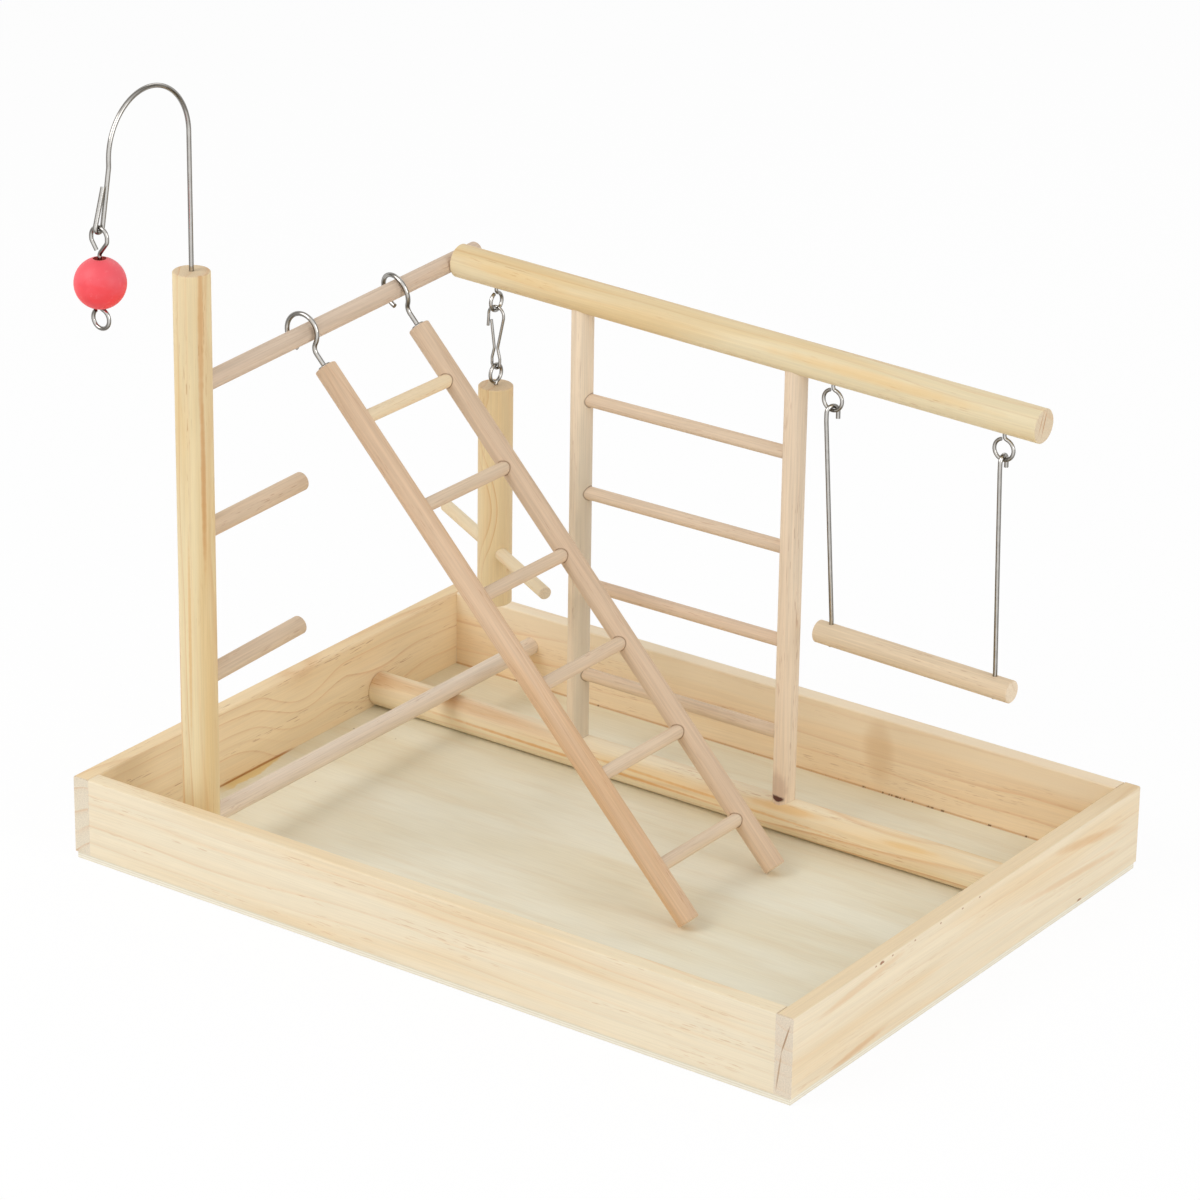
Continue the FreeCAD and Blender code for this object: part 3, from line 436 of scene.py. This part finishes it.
def top_shade_mark(shade):
    """Mark: painted shade on the top edge of a board, a little darker and warmer than its faces."""
    def mark(graph, base):
        rise = graph.parts(graph.place)[2]
        top = graph.between(rise, TRAY_TOP - TOP_SHADE_START, TRAY_TOP - TOP_SHADE_FULL)
        return graph.mix(top, base, shade, "MULTIPLY")
    return mark


LEFT_SWELLS = (
    ((LEFT_FACE_X, 0.012, 0.030), (0.03, 0.040, 0.030), 0.011),
    ((LEFT_FACE_X, -0.045, 0.010), (0.03, 0.050, 0.026), -0.010),
    ((LEFT_FACE_X, 0.075, 0.014), (0.03, 0.050, 0.024), 0.007),
)
# A darker vertical band down the inner face of the back board, from bottom to top
BACK_STREAKS = (
    ((0.066, 0, 0.004), (0.064, 0, 0.046), 0.011, colour(214, 176, 128), 0.42),
)
RIGHT_STREAKS = (
    ((0, -0.142, 0.034), (0, -0.052, 0.041), 0.0026, colour(224, 174, 112), 0.34),
    ((0, 0.061, 0.040), (0, 0.146, 0.027), 0.0032, colour(220, 166, 104), 0.40),
    ((0, 0.030, 0.024), (0, 0.146, 0.016), 0.0024, colour(224, 170, 106), 0.35),
    ((0, -0.128, 0.004), (0, -0.070, 0.008), 0.0022, colour(218, 160, 96), 0.45),
)
RIGHT_SPOTS = (
    ((0, -0.080, 0.0423), (0.0016, 0.0030, 0.0012), colour(150, 84, 44), 0.85),
    ((0, 0.098, 0.0040), (0.0016, 0.0032, 0.0010), colour(150, 96, 54), 0.8),
)
RIGHT_END_LINES = (
    ((-0.0014, 0, 0.0405), (-0.0062, 0, 0.024), 0.0005, colour(172, 130, 92), 0.8, 0.2),
    ((-0.0056, 0, 0.026), (-0.0082, 0, 0.005), 0.0005, colour(180, 140, 102), 0.7, 0.2),
)
NICK_RADII, NICK_SHADE, NICK_STRENGTH = (0.0010, 0.0012, 0.0007), colour(166, 108, 62), 0.7
RIGHT_NICKS = [((0, y, 0.0424), NICK_RADII, NICK_SHADE, NICK_STRENGTH)
               for y in (-0.085, -0.071, -0.052, -0.030, -0.011, 0.004)]
right_face = (RIGHT_FACE_X, 0, 0)
right_marks = [
    top_shade_mark(colour(248, 240, 228)), *streaks(right_face, RIGHT_STREAKS), *spots(right_face, RIGHT_SPOTS),
    *streaks((RIGHT_FACE_X, FRONT_FACE_Y, 0), RIGHT_END_LINES), *spots(right_face, RIGHT_NICKS)]

wood("tray_front_board", PINE, pith=(0.030, 0.075), tilt=(0.5, 0.5), seed=1.0,
     marks=[top_shade_mark(colour(253, 250, 243))])
wood("tray_back_board", PINE_WARM | dict(dashes=0.32), pith=(0.050, 0.040), tilt=(0.9, 0.6), seed=2.0,
     tone=(255, 251, 248), marks=[pale_top_band_mark, seam_mark, *streaks((0, BACK_FACE_Y, 0), BACK_STREAKS)])
wood("tray_left_board", PINE_WARM | dict(rings=0.5, clouds=0.22), pith=(0.020, -0.040), tilt=(2.6, 1.2),
     seed=3.0, tone=(255, 252, 246), swells=LEFT_SWELLS,
     marks=[top_shade_mark(colour(250, 245, 236)), partial(glue_mark, spread=GLUE_ON_BOARD)])
wood("tray_right_board", PINE | dict(rings=0.28, dashes=0.2, end_rings=0.3), pith=(0.014, 0.062),
     tilt=(1.8, 1.0), seed=4.0, tone=(253, 251, 249), marks=right_marks)

# Plywood: noise scales along x, y and z, ranges of noise and strengths, and shades
PLY_CLOUD_GRAIN = (6.0, 20.0, 8.0)
PLY_CLOUD_RANGE = (0.35, 0.65)
PLY_PALE, PLY_DEEP = colour(242, 237, 216), colour(236, 227, 200)
PLY_FIGURE_GRAIN = (9.0, 90.0, 10.0)
PLY_FIGURE_RANGE = (0.45, 0.70, 0.0, 0.24)
PLY_FIGURE_SHADE = colour(220, 196, 154)
PLY_FIBRE_GRAIN = (60.0, 1500.0, 60.0)
PLY_FIBRE_RANGE = (0.3, 0.7, 0.97, 1.02)
SPECK_SCALE = 120.0
SPECK_RADIUS = (0.09, 0.04)  # from edge to full, in shares of a cell
SPECK_RARITY = 0.972
SPECK_SHADE, SPECK_STRENGTH = colour(140, 104, 66), 0.6
LAYER_PITCH = 5200.0  # radians of the layers' wave per metre of height
LAYER_RANGE = (-0.2, 0.6, 0.0, 0.5)
LAYER_PALE, LAYER_DEEP, LAYER_STRENGTH = colour(252, 247, 232), colour(222, 208, 178), 0.9
FACE_VENEER = 0.0002
PLY_BUMP = (0.12, 0.0002)


def plywood():
    """Rotary-cut face veneer with cloudy figure and fine specks, and layers along the edge."""
    graph = Look("plywood", roughness=0.6, specular=WOOD_SPECULAR)
    cloudy = graph.stretched(PLY_CLOUD_GRAIN)
    base = graph.mix(graph.between(cloudy, *PLY_CLOUD_RANGE), PLY_PALE, PLY_DEEP)
    figure = graph.stretched(PLY_FIGURE_GRAIN, 4.0, 0.6)
    base = graph.mix(graph.between(figure, *PLY_FIGURE_RANGE), base, PLY_FIGURE_SHADE)
    fibre = graph.stretched(PLY_FIBRE_GRAIN)
    base = graph.mix(1.0, base, graph.between(fibre, *PLY_FIBRE_RANGE), "MULTIPLY")
    cells = graph.add("ShaderNodeTexVoronoi", {"Vector": graph.place, "Scale": SPECK_SCALE}).outputs
    chance = graph.parts(cells["Color"])[0]
    speck = graph.times(graph.between(cells["Distance"], *SPECK_RADIUS),
                        graph.maths("GREATER_THAN", chance, SPECK_RARITY))
    base = graph.mix(graph.times(speck, SPECK_STRENGTH), base, SPECK_SHADE)
    rise = graph.parts(graph.place)[2]
    layer = graph.maths("SINE", graph.times(rise, LAYER_PITCH))
    below = graph.maths("LESS_THAN", rise, PANEL_TOP - FACE_VENEER)
    sawn = graph.mix(graph.between(layer, *LAYER_RANGE), LAYER_PALE, LAYER_DEEP)
    base = graph.mix(graph.times(below, LAYER_STRENGTH), base, sawn)
    base = glue_mark(graph, seam_mark(graph, base), GLUE_ON_FLOOR)
    graph.bump(fibre, *PLY_BUMP)
    return graph.finish(base)


dress("tray_base_panel", plywood())

# Thick dowels. Streaks on them are given from each dowel's middle, but along its length in the frame
POST_STREAKS = (
    ((0.0082, -0.0037, 0.150), (0.0082, -0.0037, 0.262), 0.0016, colour(206, 138, 66), 0.6),
    ((0.0078, -0.0045, 0.215), (0.0084, -0.0032, 0.345), 0.0018, colour(212, 146, 76), 0.5),
    ((0.0020, -0.0088, 0.060), (0.0024, -0.0086, 0.190), 0.0011, colour(224, 170, 100), 0.5),
)
RAIL_STREAKS = (
    ((0.030, -0.0066, 0.0060), (0.084, -0.0056, 0.0070), 0.0034, colour(230, 182, 110), 0.6),
    ((0.110, -0.0070, 0.0056), (0.150, -0.0056, 0.0070), 0.0022, colour(232, 190, 122), 0.5),
    ((-0.190, -0.0088, 0.0010), (0.060, -0.0086, -0.0020), 0.0012, colour(222, 158, 78), 0.7),
    ((-0.120, -0.0080, 0.0038), (0.150, -0.0086, 0.0004), 0.0010, colour(226, 168, 92), 0.6),
)
PERCH_STREAKS = (
    ((0.020, -0.0080, 0.2575), (0.184, -0.0080, 0.2530), 0.0036, colour(238, 194, 122), 0.45),
    ((-0.148, -0.0080, 0.2622), (-0.070, -0.0082, 0.2600), 0.0032, colour(238, 198, 130), 0.38),
)
PERCH_END_LINES = (
    ((0, 0.0020, 0.0085), (0, -0.0030, -0.0085), 0.0006, colour(190, 132, 82), 0.9),
    ((0, -0.0006, 0.0090), (0, -0.0062, -0.0070), 0.0005, colour(196, 140, 90), 0.8),
)
MAIN_PERCH_RADIUS = 0.009
HANGING_POST_RADIUS = 0.009

post = centre_of("front_post")
wood("front_post", PINE_DOWEL, pith=(0.004, 0.020), tilt=(1.0, 0.5), seed=5.0, tone=(251, 247, 240),
     marks=streaks((post.x, post.y, 0), POST_STREAKS))
rail = centre_of("base_rail")
wood("base_rail", PINE_DOWEL | dict(early=colour(246, 232, 200), rings=0.75), pith=(0.010, -0.014),
     tilt=(1.6, 1.0), seed=6.0, tone=(252, 250, 250), marks=streaks((0, rail.y, rail.z), RAIL_STREAKS))
perch = centre_of("main_perch")
PERCH_END_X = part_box("main_perch")[1].x
PERCH_END_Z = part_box("main_perch")[0].z + MAIN_PERCH_RADIUS
wood("main_perch", PINE_DOWEL | dict(rings=0.45, end_rings=0.25), pith=(0.014, 0.012), tilt=(1.4, 0.9),
     seed=7.0, tone=(250, 250, 252), marks=[*streaks((0, perch.y, 0), PERCH_STREAKS),
                                            *streaks((PERCH_END_X, perch.y, PERCH_END_Z), PERCH_END_LINES)])
hung = centre_of("hanging_post")
hung_face_y = hung.y - HANGING_POST_RADIUS
POST_SWELLS = (
    ((hung.x, hung_face_y, hung.z + 0.034), (0.012, 0.014, 0.022), 0.006),
    ((hung.x, hung_face_y, hung.z - 0.006), (0.012, 0.014, 0.026), -0.007),
    ((hung.x, hung_face_y, hung.z - 0.044), (0.012, 0.014, 0.020), 0.005),
)
wood("hanging_post", PINE_DOWEL, pith=(0.012, 0.012), tilt=(1.2, 0.5), seed=8.0, tone=(250, 243, 235),
     swells=POST_SWELLS)

# Thin dowels of the fixed frame
BACK_RUNGS = ["back_rung_" + str(index) for index in range(1, 5)]
BACK_RUNG_TONES = ((255, 254, 252), (255, 248, 244), (255, 252, 250), (253, 250, 248))
LADDER_RUNGS = ["ladder_rung_" + str(index) for index in range(1, 7)]
RUNG_RADIUS = 0.0034
RUNG_SHADOW_DEPTH = 0.2  # how far past the carrier's middle a rung's line still shows, in radii

wood("top_cross_perch", THIN, pith=(0.009, 0.006), seed=9.0, tone=(246, 244, 247))
wood("upper_stub_perch", THIN, pith=(0.012, 0.004), seed=10.0, tone=(250, 246, 242))
wood("lower_stub_perch", THIN, pith=(0.004, 0.011), seed=11.0, tone=(246, 244, 242))
wood("low_cross_perch", PALE, pith=(0.010, 0.003), seed=12.0, tone=(247, 247, 251))
for index, (rung, rung_tone) in enumerate(zip(BACK_RUNGS, BACK_RUNG_TONES)):
    wood(rung, THIN, pith=(0.008, 0.005), seed=13.0 + index, tone=rung_tone)


def rung_hole_shadows(rungs, carrier):
    """The painted contact shade lines that rungs draw on the inner side of the piece that carries them."""
    marks = []
    for rung in rungs:
        axis = long_axis(rung)
        centre = centre_of(rung)
        reach = abs((centre_of(carrier) - centre).dot(axis)) + RUNG_RADIUS * RUNG_SHADOW_DEPTH
        marks.append(hole_shadow_line(centre, axis, RUNG_RADIUS, reach))
    return marks


STAIN_GRAIN = (90.0, 90.0, 24.0)
STAIN_DRIFT = 0.012
STAIN_FADES = (0.090, 0.020)  # from none to full, by height above the upright's middle
STAIN_SIDE = (-0.0010, 0.0030, 0.10, 0.55)  # from x to x, and strength
STAIN_SHADE = colour(196, 188, 170)
# Near the right upright's foot, from the middle of its lowest front edge: a soft grey-lavender darkening of
# its lower end, and a dark reddish spot painted as the shade in a hollow at the foot
FOOT_SPOTS_AND_HOLLOW_SHADE = (
    ((-0.001, 0.001, 0.012), (0.009, 0.006, 0.014), colour(196, 164, 144), 0.5),
    ((-0.0005, 0.0002, 0.0068), (0.0054, 0.0030, 0.0021), colour(84, 40, 34), 0.95, 0.25),
)


def stain_mark(graph, base):
    """Mark: a grey-green stain down one side of the left upright."""
    middle = centre_of("left_upright")
    x, _, z = graph.parts(graph.vector("SUBTRACT", graph.place, tuple(middle)))
    drift = graph.stretched(STAIN_GRAIN)
    side = graph.plus(x, graph.times(graph.minus(drift, 0.5), STAIN_DRIFT))
    lower = graph.between(z, *STAIN_FADES)
    share = graph.times(graph.between(side, *STAIN_SIDE), lower)
    return graph.mix(share, base, STAIN_SHADE)


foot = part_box("right_upright")
upright = centre_of("right_upright")
foot_marks = spots((upright.x, foot[0].y, foot[0].z), FOOT_SPOTS_AND_HOLLOW_SHADE)
wood("left_upright", PALE, pith=(0.011, 0.004), seed=17.0, tone=(255, 253, 250),
     marks=[stain_mark, *rung_hole_shadows(BACK_RUNGS, "left_upright")])
wood("right_upright", PALE, pith=(0.006, 0.010), seed=18.0, tone=(253, 250, 248),
     marks=[*rung_hole_shadows(BACK_RUNGS, "right_upright"), *foot_marks])

# Hanging perch and swing
wood("hanging_cross_stick", PINE, pith=(0.012, 0.006), seed=19.0, tone=(250, 247, 240))
wood("swing_bar", THIN, pith=(0.012, 0.007), seed=20.0, tone=(255, 253, 245))

# Ladder, with a rung of pine at its top
wood("ladder_front_rail", THIN | dict(rings=0.34, clouds=0.6, cloud=colour(224, 188, 142)),
     pith=(0.010, 0.005), seed=21.0, tone=(251, 239, 229),
     marks=rung_hole_shadows(LADDER_RUNGS, "ladder_front_rail"))
wood("ladder_back_rail", THIN, pith=(0.007, 0.010), seed=22.0, tone=(247, 240, 235),
     marks=rung_hole_shadows(LADDER_RUNGS, "ladder_back_rail"))
for index, rung in enumerate(LADDER_RUNGS):
    wood(rung, PINE if rung == LADDER_RUNGS[-1] else THIN, pith=(0.008, 0.006), seed=23.0 + index)

# Wire: a painted reflection, its tone from the middle of what the eye sees to the rim, and the fine
# unevenness of its plating
WIRE_REFLECTION_BANDS = (
    (0.0, colour(216, 214, 210)), (0.10, colour(198, 195, 190)), (0.22, colour(140, 136, 130)),
    (0.34, colour(90, 86, 80)), (0.50, colour(172, 168, 162)), (0.68, colour(84, 80, 74)))
WIRE_DULL_SCALE, WIRE_DULL_RANGE = 260.0, (0.3, 0.7, -0.02, 0.02)
WIRE_FINE_SCALE, WIRE_FINE_ROUGHNESS = 2600.0, (0.3, 0.7, 0.12, 0.20)
WIRE_BUMP = (0.02, 0.0001)
SCREW_PATCH_SCALE = 600.0
SCREW_PALE, SCREW_DULL = colour(176, 172, 160), colour(140, 134, 118)
WIRE_PIECES = ("toy_hook_wire", "bead_wire", "hanger_screw_eye", "snap_clip", "post_screw_eye",
               "swing_left_eye", "swing_right_eye", "swing_left_wire", "swing_right_wire",
               "ladder_front_hook", "ladder_back_hook")
SCREW_PIECES = ("base_screws", "perch_screw")


def nickel():
    """Bright plated wire with a painted reflection: dark lines along its length, as polished round wire
    shows a room.
    """
    graph = Look("nickel_wire", roughness=0.14, metallic=1.0)
    outline = graph.add("ShaderNodeLayerWeight", {"Blend": 0.5}).outputs["Facing"]
    dulled = graph.noise(graph.place, WIRE_DULL_SCALE, 2.0)
    turned = graph.plus(outline, graph.between(dulled, *WIRE_DULL_RANGE))
    # Painted reflection and highlight in the base colour: bright in the middle, with dark bands towards the
    # rim
    base = graph.ramp(turned, WIRE_REFLECTION_BANDS)
    fine = graph.noise(graph.place, WIRE_FINE_SCALE, 2.0)
    graph.feed(graph.shader.inputs["Roughness"], graph.between(fine, *WIRE_FINE_ROUGHNESS))
    graph.bump(fine, *WIRE_BUMP)
    return graph.finish(base)


def screw_steel():
    """Zinc-plated screws, seen only from below and behind."""
    graph = Look("screw_steel", roughness=0.4, metallic=1.0)
    patches = graph.noise(graph.place, SCREW_PATCH_SCALE, 3.0)
    return graph.finish(graph.mix(patches, SCREW_PALE, SCREW_DULL))


for pieces, metal in ((WIRE_PIECES, nickel()), (SCREW_PIECES, screw_steel())):
    for piece in pieces:
        dress(piece, metal)

# Bead: noise scales, ranges of noise and strengths, and shades
BEAD_MOTTLE_GRAIN, BEAD_MOTTLE = (150.0, 150.0, 260.0), 0.010
# Painted light: the bead turns paler towards its crown
BEAD_LIT_CROWN = (-0.006, 0.006)  # from red to paler, by height above its middle
BEAD_RED, BEAD_LIT_PALE = colour(251, 66, 70), colour(246, 92, 102)
SCUFF_SCALE, SCUFF_RANGE, SCUFF_SHADE = 420.0, (0.58, 0.74, 0.0, 0.24), colour(252, 140, 144)
WORN_SCALE, WORN_RANGE, WORN_SHADE = 130.0, (0.50, 0.66, 0.0, 0.30), colour(232, 58, 70)
# Painted shade in the bore: distance from the axis where it begins and is full, and its colour
BORE_SHADOW_EDGE, BORE_SHADOW_COLOUR = (0.0036, 0.0030), colour(196, 84, 78)
BEAD_GRAIN = (900.0, 900.0, 240.0)
BEAD_BUMP = (0.1, 0.0002)


def bead_paint():
    """Thin red paint on a wooden bead, with soft scuffs, painted light that makes it paler at the crown, and
    painted shade dark in the bore.
    """
    graph = Look("red_paint", roughness=0.45, specular=0.4)
    arm = graph.vector("SUBTRACT", graph.place, tuple(centre_of("red_bead")))
    rise = graph.parts(arm)[2]
    mottle = graph.stretched(BEAD_MOTTLE_GRAIN)
    level = graph.plus(rise, graph.times(graph.minus(mottle, 0.5), BEAD_MOTTLE))
    # Painted light: paler towards the crown
    base = graph.mix(graph.between(level, *BEAD_LIT_CROWN), BEAD_RED, BEAD_LIT_PALE)
    scuff = graph.noise(graph.place, SCUFF_SCALE, 4.0)
    base = graph.mix(graph.between(scuff, *SCUFF_RANGE), base, SCUFF_SHADE)
    worn = graph.noise(graph.place, WORN_SCALE, 3.0)
    base = graph.mix(graph.between(worn, *WORN_RANGE), base, WORN_SHADE)
    # Painted shade, darker in the bore
    away = graph.vector("LENGTH", graph.vector("MULTIPLY", arm, (1, 1, 0)))
    base = graph.mix(graph.between(away, *BORE_SHADOW_EDGE), base, BORE_SHADOW_COLOUR)
    grain = graph.stretched(BEAD_GRAIN)
    graph.bump(grain, *BEAD_BUMP)
    return graph.finish(base)


dress("red_bead", bead_paint())


def direction(azimuth_deg, elevation_deg):
    """Unit vector from the object towards a viewer or lamp."""
    azimuth, elevation = math.radians(azimuth_deg), math.radians(elevation_deg)
    level = math.cos(elevation)
    return Vector((math.sin(azimuth) * level, -math.cos(azimuth) * level, math.sin(elevation)))


def add_camera():
    back = direction(CAMERA_AZIMUTH_DEG, CAMERA_ELEVATION_DEG)
    level_right = Vector((0, 0, 1)).cross(back).normalized()
    level_up = back.cross(level_right)
    roll = math.radians(CAMERA_ROLL_DEG)
    right = level_right * math.cos(roll) + level_up * math.sin(roll)
    above = level_up * math.cos(roll) - level_right * math.sin(roll)
    data = bpy.data.cameras.new("camera")
    data.lens = CAMERA_LENS_MM
    data.sensor_width = CAMERA_SENSOR_MM
    camera = bpy.data.objects.new("camera", data)
    camera.matrix_world = Matrix.Translation(CAMERA_TARGET + back * CAMERA_DISTANCE) @ Matrix(
        (right, above, back)).transposed().to_4x4()
    bpy.context.scene.collection.objects.link(camera)
    bpy.context.scene.camera = camera


def add_lamps():
    for name, azimuth, elevation, share, width in LAMPS:
        towards = direction(azimuth, elevation)
        data = bpy.data.lights.new(name, "AREA")
        data.size = width
        data.energy = share * math.pi ** 2 * LAMP_DISTANCE ** 2
        lamp = bpy.data.objects.new(name, data)
        lamp.location = CAMERA_TARGET + towards * LAMP_DISTANCE
        lamp.rotation_euler = towards.to_track_quat("Z", "Y").to_euler()
        bpy.context.scene.collection.objects.link(lamp)


def direct_ray(graph):
    """Share that is 1 for camera, glossy and transmission rays."""
    path = graph.add("ShaderNodeLightPath").outputs
    share = path["Is Camera Ray"]
    for other in ("Is Glossy Ray", "Is Transmission Ray"):
        share = graph.maths("MAXIMUM", share, path[other])
    return share


def add_world():
    """White to the eye and in reflections. Elsewhere a dim light, weaker from above than from the sides."""
    world = bpy.data.worlds.new("studio")
    bpy.context.scene.world = world
    world.use_nodes = True
    graph = Graph(world.node_tree)
    height = graph.parts(graph.add("ShaderNodeTexCoord").outputs["Generated"])[2]
    dim = graph.add("ShaderNodeMapRange", {"Value": height, "To Min": AMBIENT_LEVEL,
                                           "To Max": AMBIENT_ABOVE}).outputs[0]
    strength = graph.add("ShaderNodeMapRange", {"Value": direct_ray(graph), "To Min": dim,
                                                "To Max": 1.0}).outputs[0]
    background = graph.tree.nodes["Background"]
    graph.feed(background.inputs["Color"], WHITE)
    graph.feed(background.inputs["Strength"], strength)


def add_floor():
    """White floor that keeps a faint shadow."""
    mesh = bpy.data.meshes.new("floor")
    outline = bmesh.new()
    bmesh.ops.create_grid(outline, x_segments=1, y_segments=1, size=FLOOR_SIZE / 2)
    outline.to_mesh(mesh)
    outline.free()
    floor = bpy.data.objects.new("floor", mesh)
    floor.location.z = -FLOOR_DROP
    bpy.context.scene.collection.objects.link(floor)
    graph = Look("floor", roughness=0.9, specular=0.1)
    speckle = graph.noise(graph.place, FLOOR_SPECKLE, 2.0)
    material = graph.finish(graph.mix(graph.between(speckle, 0.3, 0.7), FLOOR_DARK, FLOOR_LIGHT))
    glow = graph.add("ShaderNodeEmission", {"Color": WHITE, "Strength": FLOOR_GLOW_STRENGTH}).outputs[0]
    share = graph.times(direct_ray(graph), FLOOR_GLOW)
    blend = graph.add("ShaderNodeMixShader", {0: share, 1: graph.shader.outputs[0], 2: glow})
    graph.feed(graph.tree.nodes["Material Output"].inputs["Surface"], blend.outputs[0])
    mesh.materials.append(material)


add_camera()
add_lamps()
add_world()
add_floor()
bpy.context.scene.view_settings.view_transform = "Standard"
